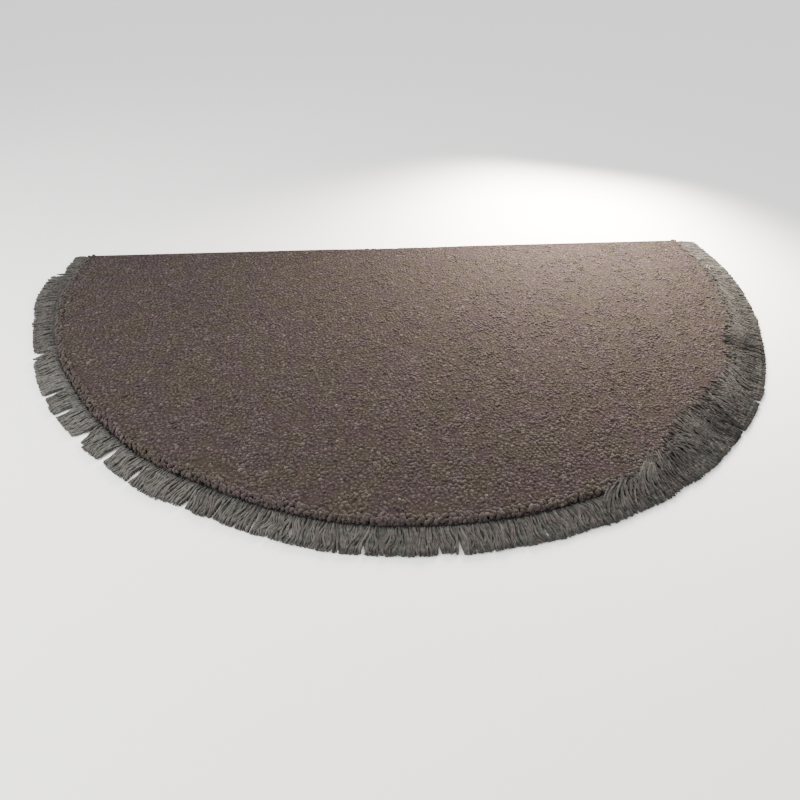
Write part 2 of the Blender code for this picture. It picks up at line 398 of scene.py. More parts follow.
LOOP_TURN = math.radians(40)
BACK_ROW_TURN = LOOP_TURN / 2
LOOP_STRAY_SHARE = 0.75
LOOP_LEAN = math.radians(12)
LOOP_FEET = 0.0085
LOOP_LOWEST = 0.0034
PATCH_SIZE = 0.013
PATCH_LEAN = math.radians(26)
PATCH_HEIGHT = 0.0007
LOOP_PATH = (
    # place along the loop, height above its feet, crest
    (-0.0036, 0.0008, 0.0),
    (-0.0012, 0.0021, 1.0),
    (0.0012, 0.0021, 1.0),
    (0.0036, 0.0008, 0.0),
)
LOOP_HEIGHT_JITTER = 0.00028
LOOP_HALF_WIDTH = 0.0029
LOOP_HALF_DEPTH = 0.0019
LOOP_END_SHARE = 0.52
LOOP_SIDES = 4
LOOP_CURVE = 0.0007
LOOP_SIZE_SPREAD = 0.12
LOOP_SIZES = (0.75, 1.25)
LOOP_TONE = 0.5
LOOP_TONE_SPREAD = 0.16
PILE_SEED = 11
GROUND_TOP = 0.0113
GROUND_NUB_SCALE = 210.0
GROUND_NUB_SMOOTHNESS = 0.4
GROUND_ROUGHNESS = 1.0
GROUND_SHEEN = 0.0
GROUND_BUMP = 0.7
GROUND_BUMP_DEPTH = 0.002
GROUND_INSET = 0.0032
GROUND_TOP_INSET = 0.0086
GROUND_STEPS = 144
WOOL_ROUGHNESS = 0.95
WOOL_SHEEN = 0.08
PILE_PLIES = 4
PILE_PLY_TURNS = 0.8
PILE_PLY_DEPTH = 0.00025
PLY_SHADE = 0.06
PILE_FIBRE_SCALE = 900.0
PILE_FIBRE_DETAIL = 4.0
PILE_FUZZ = 0.5
PILE_FUZZ_DEPTH = 0.0002
DRIFT_SCALE = 26.0
DRIFT_DETAIL = 3.0
DRIFT_CONTRAST = 5.0
DRIFT_SHIFT = -2.0
PALE_RARITY = 5.0
PALE_SHARE = 1.8
# Painted light and shade of the loops: a base share, a painted highlight on the crests and painted
# shade at the lower ends, plus the loop's own random tone.
PILE_LIGHT = 0.76
PAINTED_CREST_HIGHLIGHT = 0.06
TONE_LIGHT = 0.18
# Painted shade in soft patches, which darken clumps of loops as if shaded in hollows.
HOLLOW_SHADE_SCALE = 95.0
HOLLOW_SHADE_DETAIL = 2.0
HOLLOW_SHADE_CONTRAST = 0.9
HOLLOW_SHADE_SHIFT = 0.50
GREY_LOOPS = (
    # inset from the rim, share of the loops that are grey
    (0.004, 1.0),
    (0.010, 0.55),
    (0.020, 0.0),
)
GREY_REACH = (
    # angle in degrees, how many times farther the grey loops go in from the rim
    (0, 1.0),
    (20, 2.2),
    (62, 2.4),
    (76, 1.0),
)
GREY_WOOL = (0.041, 0.0375, 0.0330, 1)
# Painted shade of the groove under the round edge: full below the first height, gone above the second,
# and as strong as the table gives at each angle.
GROOVE_SHADE_FULL_HEIGHT = 0.0066
GROOVE_SHADE_END_HEIGHT = 0.0080
GROOVE_ANGLES = (60, 76, 155, 163)
GROOVE_SHADE_STRENGTHS = (0.1, 1.0, 1.0, 0.1)
PILE_SHADOW = (0.012, 0.0085, 0.0078, 1)
PILE_MAUVE = (0.0398, 0.0277, 0.0293, 1)
PILE_OLIVE = (0.0393, 0.0317, 0.0243, 1)
PILE_PALE = (0.084, 0.067, 0.060, 1)


def round_front(east, south):
    """The angle of a place round the front, from just behind the right end to the left end."""
    angle = np.arctan2(south, east)
    return np.where(angle < -math.pi / 2, angle + math.tau, angle)


def read_reach(node, step):
    """How far a solid reaches from the centre of the round edge, for each step of the angle."""
    points = np.array([point.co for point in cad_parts[node].data.vertices])
    east = points[:, 0]
    south = CENTRE_Y - points[:, 1]
    bins = np.round(round_front(east, south) / step).astype(int)
    lowest = bins.min()
    reach = np.zeros(bins.max() - lowest + 1)
    np.maximum.at(reach, bins - lowest, np.hypot(east, south))
    found = reach > 0
    return ((np.arange(len(reach)) + lowest) * step)[found], reach[found]


rim_angles, rim_reach = read_reach("hooked_pile", RIM_BIN)
pile_low, pile_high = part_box("hooked_pile")
corner_angle = math.asin(BACK_BEHIND_CENTRE / rim_reach.max())
on_round_edge = (rim_angles > -corner_angle) & (rim_angles < math.pi + corner_angle)
PILE_RADIUS_MEAN = float(rim_reach[on_round_edge].mean())


def rim_radius(angle):
    """The pile's reach at any angle."""
    return np.interp(angle, rim_angles, rim_reach)


def at_rim(angle, radius):
    """The place at an angle round the front and a distance from the centre."""
    return radius * np.cos(angle), CENTRE_Y - radius * np.sin(angle)


def clear_of_groove_shade(points):
    """How clear each point stands of the painted shade of the groove that runs under the pile's round
    edge.
    """
    raised = (points[:, 2] - GROOVE_SHADE_FULL_HEIGHT) / (GROOVE_SHADE_END_HEIGHT - GROOVE_SHADE_FULL_HEIGHT)
    angles = round_front(points[:, 0], CENTRE_Y - points[:, 1])
    in_groove = np.interp(np.degrees(angles), GROOVE_ANGLES, GROOVE_SHADE_STRENGTHS)
    return 1 - in_groove * (1 - raised.clip(0, 1))


def shape_to_piece(name, shape):
    """Turn a finished shape into a piece of the scene."""
    mesh = bpy.data.meshes.new(name)
    shape.to_mesh(mesh)
    shape.free()
    return add_piece(name, mesh)


def make_pile_ground():
    """The matted feet of the loops, one thin layer on the cloth that no loop rises from alone."""
    shape = bmesh.new()
    disc = bmesh.ops.create_circle(shape, cap_ends=True, segments=GROUND_STEPS, radius=1)
    raised = bmesh.ops.extrude_face_region(shape, geom=disc["verts"][0].link_faces[:])
    top = [item for item in raised["geom"] if isinstance(item, bmesh.types.BMVert)]
    bmesh.ops.translate(shape, vec=(0, 0, 1), verts=top)
    for point in shape.verts:
        angle = float(round_front(point.co.x, -point.co.y))
        on_top = point.co.z > 0.5
        radius = float(rim_radius(angle)) - (GROUND_TOP_INSET if on_top else GROUND_INSET)
        x, y = at_rim(angle, radius)
        point.co = (x, y, GROUND_TOP if on_top else pile_low.z)
    everything = shape.verts[:] + shape.edges[:] + shape.faces[:]
    bmesh.ops.bisect_plane(
        shape, geom=everything, plane_co=(0, pile_high.y - GROUND_INSET, 0),
        plane_no=(0, 1, 0), clear_outer=True)
    open_edges = [edge for edge in shape.edges if edge.is_boundary]
    bmesh.ops.holes_fill(shape, edges=open_edges, sides=0)
    bmesh.ops.recalc_face_normals(shape, faces=shape.faces)
    piece = shape_to_piece("pile_ground", shape)
    # Painted shade: the ground's low points under the round edge are darkened.
    set_attribute(piece, "clear", clear_of_groove_shade(piece_points(piece)))
    return piece


def rim_row_places(chance, inset, feet, lean):
    """Loops of one row round the edge: place, feet, outward turn, lean, slant and size."""
    radius = PILE_RADIUS_MEAN - inset
    sweep = math.pi + 2 * corner_angle
    count = int(sweep * radius / RIM_SPACING)
    angles = (np.arange(count) + chance.random()) / count * sweep - corner_angle
    angles += chance.uniform(-RIM_JITTER, RIM_JITTER, count) / radius
    insets = inset + chance.uniform(-RIM_INSET_JITTER, RIM_INSET_JITTER, count)
    x, y = at_rim(angles, rim_radius(angles) - insets)
    heights = feet + chance.uniform(-RIM_FEET_JITTER, RIM_FEET_JITTER, count)
    outward = np.arctan2(-np.sin(angles), np.cos(angles))
    leans = np.full(count, math.radians(lean))
    slant = chance.normal(RIM_TURN, LOOP_TURN, count)
    size = np.full(count, RIM_LOOP_SIZE)
    return np.column_stack([x, y, heights, outward, leans, slant, size])


def back_row_places(chance, inset, feet, lean):
    """Loops of one row along the straight back edge, with the same columns."""
    half = rim_radius(-corner_angle) - inset
    count = int(2 * half / LOOP_SPACING)
    x = ((np.arange(count) + 0.5) / count * 2 - 1) * half
    x += chance.uniform(-LOOP_JITTER, LOOP_JITTER, count)
    y = np.full(count, pile_high.y - inset)
    outward = np.full(count, math.pi / 2)
    leans = np.full(count, math.radians(lean))
    slant = chance.normal(0, BACK_ROW_TURN, count)
    size = np.ones(count)
    return np.column_stack([x, y, np.full(count, feet), outward, leans, slant, size])


def patches(chance, spots, size):
    """Random values from -1 to 1 that change smoothly from place to place, over about a size."""
    cells = (spots - spots.min(axis=0)) / size
    low = cells.astype(int)
    grid = chance.uniform(-1, 1, low.max(axis=0) + 2)
    share = cells - low
    share = share * share * (3 - 2 * share)
    here, ahead = (
        grid[low[:, 0] + step, low[:, 1]] * (1 - share[:, 1])
        + grid[low[:, 0] + step, low[:, 1] + 1] * share[:, 1]
        for step in (0, 1))
    return here * (1 - share[:, 0]) + ahead * share[:, 0]


def field_places(chance):
    """Loops of the wandering rows that fill the rug, with the same columns."""
    widest = rim_reach.max()
    depth = pile_high.y - FIRST_ROW_INSET - pile_low.y
    rows = []
    for row in range(int(depth / ROW_SPACING)):
        x = np.arange(-widest, widest, LOOP_SPACING) + chance.uniform(0, LOOP_SPACING)
        y = np.full(len(x), pile_high.y - FIRST_ROW_INSET - row * ROW_SPACING)
        wave = np.sin(x / ROW_WANDER_LENGTH * math.tau + row * ROW_DRIFT)
        slow_phase = x / ROW_WANDER_LENGTH * SLOW_TURN + row * SLOW_DRIFT + SLOW_START
        wave += SLOW_WANDER * np.sin(slow_phase)
        fade = np.clip(row / STRAIGHT_ROWS, 0, 1)
        y += wave * ROW_WANDER * fade
        rows.append(np.column_stack([x, y]))
    spots = np.concatenate(rows)
    spots += chance.uniform(-LOOP_JITTER, LOOP_JITTER, spots.shape)
    angles = round_front(spots[:, 0], CENTRE_Y - spots[:, 1])
    reach = np.hypot(spots[:, 0], CENTRE_Y - spots[:, 1])
    spots = spots[reach < rim_radius(angles) - FIELD_INSET]
    count = len(spots)
    outward = np.full(count, -math.pi / 2)
    leans = chance.normal(0, LOOP_LEAN, count) + PATCH_LEAN * patches(chance, spots, PATCH_SIZE)
    feet = LOOP_FEET + PATCH_HEIGHT * patches(chance, spots, PATCH_SIZE)
    slant = chance.normal(0, LOOP_TURN, count)
    stray = chance.random(count) < LOOP_STRAY_SHARE
    slant[stray] += chance.uniform(-math.pi / 2, math.pi / 2, stray.sum())
    return np.column_stack([spots, feet, outward, leans, slant, np.ones(count)])


def all_loop_places():
    """Every loop of the rug, from the edge rows to the field."""
    chance = np.random.default_rng(PILE_SEED)
    places = [rim_row_places(chance, *row) for row in RIM_ROWS]
    places += [back_row_places(chance, *row) for row in BACK_ROWS]
    places.append(field_places(chance))
    places = np.concatenate(places)
    return places[places[:, 1] < pile_high.y - BACK_ROWS[0][0] / 2], chance


def grey_share(places):
    """How many of the loops at each place are of the fringe's grey yarn: some, near the edge."""
    angles = round_front(places[:, 0], CENTRE_Y - places[:, 1])
    inset = rim_radius(angles) - np.hypot(places[:, 0], CENTRE_Y - places[:, 1])
    in_groove = np.interp(np.degrees(angles), GROOVE_ANGLES, GROOVE_SHADE_STRENGTHS)
    inset /= np.interp(np.degrees(angles), *zip(*GREY_REACH))
    return np.interp(inset, *zip(*GREY_LOOPS)) * (1 - in_groove)


def loop_lines(places, path, length, chance):
    """The centre line of each loop, and the direction across it, from its place, lean and slant."""
    count = len(places)
    outward_turn, lean, slant = places[:, 3], places[:, 4], places[:, 5:6]
    outward = np.column_stack([np.cos(outward_turn), np.sin(outward_turn), np.zeros(count)])
    up = np.array([[0.0, 0.0, 1.0]])
    raised = up * np.cos(lean)[:, None] + outward * np.sin(lean)[:, None]
    downhill = outward * np.cos(lean)[:, None] - up * np.sin(lean)[:, None]
    level = np.cross(raised, downhill)
    row = level * np.cos(slant) + downhill * np.sin(slant)
    sideways = downhill * np.cos(slant) - level * np.sin(slant)
    reach = path[None, :, 0] * length
    rise = path[None, :, 1] + chance.normal(0, LOOP_HEIGHT_JITTER, (count, 1))
    rise = rise + chance.normal(0, LOOP_HEIGHT_JITTER, (count, len(path)))
    bend = chance.normal(0, LOOP_CURVE, (count, 1)) * path[None, :, 2]
    lines = places[:, None, :3] + row[:, None] * reach[..., None]
    lines = lines + raised[:, None] * rise[..., None] + sideways[:, None] * bend[..., None]
    lines[..., 2] = np.maximum(lines[..., 2], LOOP_LOWEST)
    return lines, np.repeat(sideways[:, None], len(path), axis=1)


def make_loops(name, places, chance):
    """One joined piece of loops."""
    count = len(places)
    path = np.array(LOOP_PATH)
    size = chance.normal(1, LOOP_SIZE_SPREAD, (count, 3)).clip(*LOOP_SIZES) * places[:, 6:]
    lines, across = loop_lines(places, path, size[:, :1], chance)
    taper = LOOP_END_SHARE + (1 - LOOP_END_SHARE) * path[None, :, 2]
    half_width = LOOP_HALF_WIDTH * size[:, 1:2] * taper
    half_depth = LOOP_HALF_DEPTH * size[:, 2:3] * taper
    piece, ring = bend_yarns(name, lines, across, half_width, half_depth, LOOP_SIDES)
    tone = chance.normal(LOOP_TONE, LOOP_TONE_SPREAD, count).clip(0, 1)
    set_attribute(piece, "tone", np.repeat(tone[:, None], len(ring), axis=1))
    grey = chance.random(count) < grey_share(places)
    set_attribute(piece, "grey", np.repeat(grey[:, None], len(ring), axis=1))
    # The crest share also paints a highlight on the loops' crests and shade at their lower ends.
    set_attribute(piece, "crest", np.tile(path[ring, 2], (count, 1)))
    # Painted shade: the loops' low points under the round edge are darkened.
    set_attribute(piece, "clear", clear_of_groove_shade(piece_points(piece)))
    return piece


def pile_drift(tree, place):
    """The wool's mixed colour, which drifts between mauve and olive over a few centimetres."""
    drift = noise_node(tree, place, DRIFT_SCALE, DRIFT_DETAIL)
    drift = scale_and_shift(tree, drift, DRIFT_CONTRAST, DRIFT_SHIFT)
    drift = math_node(tree, "MAXIMUM", math_node(tree, "MINIMUM", drift, 1.0), 0.0)
    return mix_colours(tree, drift, PILE_MAUVE, PILE_OLIVE)


def fuzz_over_twist(tree, shader, fibres, twist, strength, depth):
    """Lay the fuzz of the fibres over the twist of the plies."""
    fuzz = bump_node(tree, fibres, strength, depth)
    tree.links.new(twist.outputs[0], fuzz.inputs["Normal"])
    tree.links.new(fuzz.outputs[0], shader.inputs["Normal"])


def pile_material():
    """Brown wool that drifts between mauve and olive, with a painted highlight on the crests of the
    loops and painted shade mixed in from the shadow colour.
    """
    material, tree, shader = new_material("pile_wool", WOOL_ROUGHNESS, WOOL_SHEEN)
    place = object_place(tree)
    wool = mix_colours(tree, attribute_node(tree, "grey"), pile_drift(tree, place), GREY_WOOL)
    tone = attribute_node(tree, "tone")
    fibres = noise_node(tree, place, PILE_FIBRE_SCALE, PILE_FIBRE_DETAIL)
    pale = math_node(tree, "MULTIPLY", math_node(tree, "POWER", tone, PALE_RARITY), PALE_SHARE)
    wool = mix_colours(tree, math_node(tree, "MINIMUM", pale, 1.0), wool, PILE_PALE)
    # Painted highlight: the crests of the loops are mixed further from the shadow colour than their
    # lower ends.
    light = scale_and_shift(tree, attribute_node(tree, "crest"), PAINTED_CREST_HIGHLIGHT, PILE_LIGHT)
    light = math_node(tree, "ADD", light, math_node(tree, "MULTIPLY", tone, TONE_LIGHT))
    # Painted shade: soft patches of noise darken the loops towards the shadow colour.
    hollow_shade = noise_node(tree, place, HOLLOW_SHADE_SCALE, HOLLOW_SHADE_DETAIL)
    hollow_shade = scale_and_shift(tree, hollow_shade, HOLLOW_SHADE_CONTRAST, HOLLOW_SHADE_SHIFT)
    light = math_node(tree, "MULTIPLY", light, math_node(tree, "MINIMUM", hollow_shade, 1.0))
    # Painted shade of the groove under the round edge.
    light = math_node(tree, "MULTIPLY", light, attribute_node(tree, "clear"))
    # Painted shade: the wool is mixed towards the shadow colour where the painted light share is low.
    wool = mix_colours(tree, math_node(tree, "MINIMUM", light, 1.0), PILE_SHADOW, wool)
    twist, ridge = plied_bump(tree, PILE_PLY_TURNS, PILE_PLIES, PILE_PLY_DEPTH)
    between_plies = math_node(tree, "MULTIPLY", math_node(tree, "SUBTRACT", 1.0, ridge), PLY_SHADE)
    wool = mix_colours(tree, between_plies, wool, PILE_SHADOW)
    tree.links.new(wool, shader.inputs["Base Color"])
    fuzz_over_twist(tree, shader, fibres, twist, PILE_FUZZ, PILE_FUZZ_DEPTH)
    return material


def ground_material():
    """The same wool, matted into nubs, with painted shade of the loops over it: darker between the nubs
    and in the groove under the round edge.
    """
    material, tree, shader = new_material("pile_ground_wool", GROUND_ROUGHNESS, GROUND_SHEEN)
    place = object_place(tree)
    nubs = add_node(
        tree, "ShaderNodeTexVoronoi",
        {"Scale": GROUND_NUB_SCALE, "Smoothness": GROUND_NUB_SMOOTHNESS}, feature="SMOOTH_F1")
    tree.links.new(place, nubs.inputs["Vector"])
    domes = math_node(tree, "SUBTRACT", 1.0, nubs.outputs["Distance"])
    # Painted shade: the wool darkens towards the shadow colour at the edges of the nubs and in the
    # groove.
    light = math_node(tree, "MULTIPLY", domes, attribute_node(tree, "clear"))
    light = math_node(tree, "MINIMUM", light, 1.0)
    colour = mix_colours(tree, light, PILE_SHADOW, pile_drift(tree, place))
    tree.links.new(colour, shader.inputs["Base Color"])
    bump = bump_node(tree, domes, GROUND_BUMP, GROUND_BUMP_DEPTH)
    tree.links.new(bump.outputs[0], shader.inputs["Normal"])
    return material


pile_wool = pile_material()
pile_ground = make_pile_ground()
pile_ground.data.materials.append(ground_material())
pile_pieces = [pile_ground]
loop_places, pile_chance = all_loop_places()
loop_places = loop_places[np.argsort(loop_places[:, 0], kind="stable")]
for number, sector in enumerate(np.array_split(loop_places, PILE_SECTORS)):
    loops = make_loops(f"pile_loops_{number + 1}", sector, pile_chance)
    loops.data.materials.append(pile_wool)
    pile_pieces.append(loops)
for piece in pile_pieces:
    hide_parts("hooked_pile")
    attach(piece, "root")

# Fringe heading
# A narrow woven tape that the fringe's yarns are sewn to by their roots. It runs round the curved
# edge, just outside the cloth, and hardly shows under the roots.
HEADING_STEPS = 200
HEADING_WIDTH = 0.0060
HEADING_TOP = 0.0018
# The fringe's shadow colour, for painted shade.
FRINGE_SHADOW = (0.006, 0.0055, 0.005, 1)
FRINGE_GREY = (0.056, 0.0595, 0.0530, 1)


def heading_material():
    """A woven grey tape, mostly hidden under the roots, with painted shade in the hollows between its
    threads.
    """
    material, tree, shader = new_material("heading_tape", CLOTH_ROUGHNESS, CLOTH_SHEEN)
    place = object_place(tree)
    height = weave_height(tree, place)
    # Painted shade: the tape turns to the fringe's shadow colour where its threads dip into the weave.
    colour = mix_colours(tree, height, FRINGE_SHADOW, FRINGE_GREY)
    tree.links.new(colour, shader.inputs["Base Color"])
    bump = bump_node(tree, height, CLOTH_BUMP, CLOTH_THREAD_DEPTH)
    tree.links.new(bump.outputs[0], shader.inputs["Normal"])
    return material


def make_heading():
    """The narrow strip that holds the roots, turned round the edge outside the cloth."""
    shape = bmesh.new()
    strip_low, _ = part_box("fringe")
    start = -math.asin(BACK_BEHIND_CENTRE / PILE_RADIUS_MEAN)
    inner = PILE_RADIUS_MEAN - HEADING_WIDTH / 2
    corners = (
        (inner, strip_low.z), (inner + HEADING_WIDTH, strip_low.z),
        (inner + HEADING_WIDTH, HEADING_TOP), (inner, HEADING_TOP))
    section = []
    for radius, height in corners:
        x, y = at_rim(start, radius)
        section.append(shape.verts.new((x, y, height)))
    sides = [shape.edges.new((section[place - 1], section[place])) for place in range(len(section))]
    bmesh.ops.spin(
        shape, geom=section + sides, cent=(0, CENTRE_Y, 0), axis=(0, 0, -1),
        angle=math.pi - 2 * start, steps=HEADING_STEPS)
    open_edges = [edge for edge in shape.edges if edge.is_boundary]
    bmesh.ops.holes_fill(shape, edges=open_edges, sides=4)
    for point in shape.verts:
        east, south = point.co.x, CENTRE_Y - point.co.y
        angle = float(round_front(east, south))
        radius = math.hypot(east, south) + float(rim_radius(angle)) - PILE_RADIUS_MEAN
        x, y = at_rim(angle, radius)
        point.co = (x, min(y, cloth_high.y), point.co.z)
    bmesh.ops.recalc_face_normals(shape, faces=shape.faces)
    piece = shape_to_piece("fringe_heading", shape)
    piece.data.materials.append(heading_material())
    return piece


heading = make_heading()
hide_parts("fringe")
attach(heading, "root")

# Fringe yarns
# Loose grey wool yarns, sewn by their roots to the heading round the whole curved edge. They lie on
# the floor in uneven locks, part in places, and were cut to one length by eye.
LOCK_COUNT = 252
YARNS_PER_LOCK = 12
YARN_RINGS = 7
YARN_SIDES = 4
YARN_RADIUS = 0.0015
YARN_SIZES = (0.8, 1.15)
YARN_LUMPS = (0.85, 1.15)
YARN_THICKNESS = ((0.0, 1.0), (0.90, 0.95), (1.0, 0.65))
LOWEST_THICKNESS = 1.45
FRINGE_LENGTH = 0.0417
ROOT_INSET = 0.0020
ROOT_DEPTH = 0.0020
ROOT_HEIGHT = 0.0013
YARN_RISE = 0.0014
RISE_SHARES = (0.2, 1.0)
RISE_STARTS = 0.06
RISE_ONSET = 0.8
ROOT_PUFF = 0.0018
ROOT_PUFF_PLACE = 0.13
PUFF_LEAST = 0.4
PUFF_A_LAYER = 0.3
LAYER_HEIGHT = 0.0014
LAYERS = 3
LAYER_SHUFFLE = 5
LAYER_STARTS = 0.08
LAYER_GROWTH = 5
LAYER_SINK = 0.2
LOCK_LIFT = 0.8
YARN_WAVE = 0.0020
YARN_TURNS = (1.0, 2.0)
WAVE_LEAST = 0.3
WAVE_ONSET = 0.5
LEAN_ONSET = 1.4
LOWEST_SWAY = 0.35
YARN_BOB = 0.0009
BOB_TURNS = (1.0, 2.2)
YARN_STRAY = 0.0056
LOCK_WAVE = 0.0042
LOCK_TURNS = (0.6, 1.5)
LOCK_SPREADS = (1.15, 1.60)
LOCK_STRAY = 0.0012
CLUMP_WANDER = 0.0058
CLUMP_LENGTH = 0.050
CLUMP_MARGIN = 0.1
LENGTH_SPREAD = 0.0008
LOCK_LENGTH_SPREAD = 0.0014
LOCK_BIN = math.radians(0.8)
PARTING_REACH = math.radians(3)
PARTING_STARTS = 0.2
PARTING_HALFWAY = 0.6
PARTINGS = (
    # angle in degrees, opening halfway along the yarns, opening at their tips
    (49.5, 0.002, 0.003),
    (63.5, 0.001, 0.003),
    (90.3, 0.001, 0.005),
    (111.5, 0.002, 0.000),
    (116.0, 0.003, 0.001),
    (119.6, 0.000, 0.006),
    (127.2, 0.009, 0.002),
    (132.2, 0.011, 0.008),
    (137.4, 0.004, 0.020),
    (143.0, 0.011, 0.007),
    (147.4, 0.011, 0.007),
    (157.4, 0.004, 0.012),
    (180.3, 0.001, 0.007),
)
FRINGE_PIECES = 2
FRINGE_SEED = 5
ROOT_SHADE_STARTS = 0.11
ROOT_SHADE_ENDS = 0.145
ROOT_SHADE_SPREAD = 0.040
LOCK_TONE_SPREAD = 0.10
YARN_TONE_SPREAD = 0.12
# Painted light and shade round the edge: the locks are lightest at the back of the right end and at the
# front left, darker at the right front and the ends, with dips at 31 and 50 degrees for painted shade
# in dark pockets.
LOCK_PAINTED_LIGHT = (
    # angle in degrees, how light the locks are, as painted light and shade round the edge
    (-8, 1.00),
    (12, 0.60),
    (28, 0.45),
    (31, -0.50),
    (34, 0.40),
    (47, 0.35),
    (50, -0.60),
    (53, 0.35),
    (72, 0.25),
    (95, 0.38),
    (112, 0.58),
    (132, 0.95),
    (150, 0.85),
    (165, 0.34),
    (188, 0.22),
)
FRINGE_MAUVE = (0.070, 0.0590, 0.0560, 1)
FRINGE_PALE = (0.096, 0.0935, 0.086, 1)
FRINGE_PALE_RARITY = 2.2
FRINGE_DRIFT_SCALE = 75.0
FRINGE_DRIFT_DETAIL = 2.0
FRINGE_DRIFT_CONTRAST = 3.0
FRINGE_DRIFT_SHIFT = -1.0
FRINGE_FIBRE_SCALE = 170.0
FRINGE_FIBRE_DETAIL = 6.0
FRINGE_SHADE_CONTRAST = 1.7
FRINGE_SHADE_SHIFT = -0.35
FRINGE_TONE_LIGHT = 0.4
FRINGE_PLIES = 2
FRINGE_PLY_TURNS = 1.5
FRINGE_PLY_DEPTH = 0.00015
FRINGE_FUZZ = 0.6
FRINGE_FUZZ_DEPTH = 0.0006


fringe_angles, fringe_reach = read_reach("fringe", LOCK_BIN)


def keep_clear(angle, root_angle, radius, share):
    """Hold the yarns on either side of each parting off its line, more towards their tips."""
    thickest = YARN_RADIUS * LOWEST_THICKNESS
    for parting, halfway, at_tips in PARTINGS:
        line = math.radians(parting)
        clear = np.interp(
            share, (0, PARTING_STARTS, PARTING_HALFWAY, 1),
            (0, 0, halfway / 2 + thickest, at_tips / 2 + thickest)) / radius
        before = (root_angle < line)[:, None] & (root_angle > line - PARTING_REACH)[:, None]
        after = (root_angle >= line)[:, None] & (root_angle < line + PARTING_REACH)[:, None]
        angle = np.where(before, np.minimum(angle, line - clear), angle)
        angle = np.where(after, np.maximum(angle, line + clear), angle)
    return angle


def smooth_chance(chance, angles, length):
    """Random values from -1 to 1 that change smoothly along the edge, over about a length."""
    knots = np.arange(
        angles.min() - CLUMP_MARGIN, angles.max() + 2 * CLUMP_MARGIN, length / PILE_RADIUS_MEAN)
    return np.interp(angles, knots, chance.uniform(-1, 1, len(knots)))


def sway(chance, count, share, size, low_turns, high_turns):
    """Side to side waves along yarns that start straight at their roots."""
    height = chance.uniform(WAVE_LEAST, 1, (count, 1)) * size
    phase = chance.uniform(0, math.tau, (count, 1))
    turns = chance.uniform(low_turns, high_turns, (count, 1))
    return height * (np.sin(phase + share * turns * math.tau) - np.sin(phase)) * share ** WAVE_ONSET


def yarn_heights(chance, share, layer):
    """How high each yarn lies: puffed at its root, then over the layers that lie under it."""
    count = len(layer)
    rise = chance.uniform(*RISE_SHARES, (count, 1)) * YARN_RISE
    lifted = np.clip((share - LAYER_STARTS) * LAYER_GROWTH, 0, 1)
    level = ROOT_HEIGHT + layer[:, None] * LAYER_HEIGHT * lifted
    arch = np.sin(math.pi * np.clip(share - RISE_STARTS, 0, 1) ** RISE_ONSET)
    z = level * (1 - LAYER_SINK * share) + rise * arch
    near_root = share / ROOT_PUFF_PLACE
    puff = ROOT_PUFF * (PUFF_LEAST + PUFF_A_LAYER * layer[:, None])
    z += puff * near_root * np.exp(1 - near_root)
    z += sway(chance, count, share, YARN_BOB, *BOB_TURNS)
    return np.maximum(z, YARN_RADIUS)


def make_fringe_lines(chance):
    """The centre line of every yarn, with its own root, lean, waves and length."""
    end = math.asin(BACK_BEHIND_CENTRE / (PILE_RADIUS_MEAN + FRINGE_LENGTH))
    pitch = (math.pi + 2 * end) / LOCK_COUNT
    locks = (np.arange(LOCK_COUNT) + 0.5) * pitch - end
    share = np.linspace(0, 1, YARN_RINGS)[None]
    lock_lean = CLUMP_WANDER * smooth_chance(chance, locks, CLUMP_LENGTH)
    lock_lean += chance.normal(0, LOCK_STRAY, LOCK_COUNT)
    lock_sway = sway(chance, LOCK_COUNT, share, LOCK_WAVE, *LOCK_TURNS)
    lock_spread = chance.uniform(*LOCK_SPREADS, LOCK_COUNT)
    lock_short = chance.uniform(-LOCK_LENGTH_SPREAD / 2, LOCK_LENGTH_SPREAD, LOCK_COUNT)
    lock_lift = chance.uniform(0, LOCK_LIFT, LOCK_COUNT)
    lock = np.repeat(np.arange(LOCK_COUNT), YARNS_PER_LOCK)
    count = len(lock)
    inside = np.tile((np.arange(YARNS_PER_LOCK) + 0.5) / YARNS_PER_LOCK - 0.5, LOCK_COUNT)
    inside += chance.uniform(-0.5, 0.5, count) / YARNS_PER_LOCK
    layer = np.tile(np.arange(YARNS_PER_LOCK) * LAYER_SHUFFLE % LAYERS, LOCK_COUNT) + lock_lift[lock]
    root_angle = locks[lock] + inside * pitch
    tip_side = inside * pitch * PILE_RADIUS_MEAN * (lock_spread[lock] - 1)
    freedom = LOWEST_SWAY + (1 - LOWEST_SWAY) * np.clip(layer / (LAYERS - 1), 0, 1)
    side = (lock_lean[lock] + chance.normal(0, YARN_STRAY, count)) * freedom
    side += tip_side
    root = rim_radius(root_angle) - ROOT_INSET - chance.uniform(0, ROOT_DEPTH, count)
    tip = np.interp(locks, fringe_angles, fringe_reach)[lock] - lock_short[lock]
    tip -= np.abs(chance.normal(0, LENGTH_SPREAD, count))
    radius = root[:, None] + (tip - root)[:, None] * share
    crimp = lock_sway[lock] + sway(chance, count, share, YARN_WAVE, *YARN_TURNS)
    crimp *= freedom[:, None]
    angle = root_angle[:, None] + (side[:, None] * share ** LEAN_ONSET + crimp) / radius
    angle = keep_clear(angle, root_angle, radius, share)
    x, y = at_rim(angle, radius)
    z = yarn_heights(chance, share, layer)
    y = np.minimum(y, cad_high.y - YARN_RADIUS)
    thickness = np.where(layer < 1, LOWEST_THICKNESS, 1.0)
    return np.stack([x, y, z], axis=2), lock, thickness


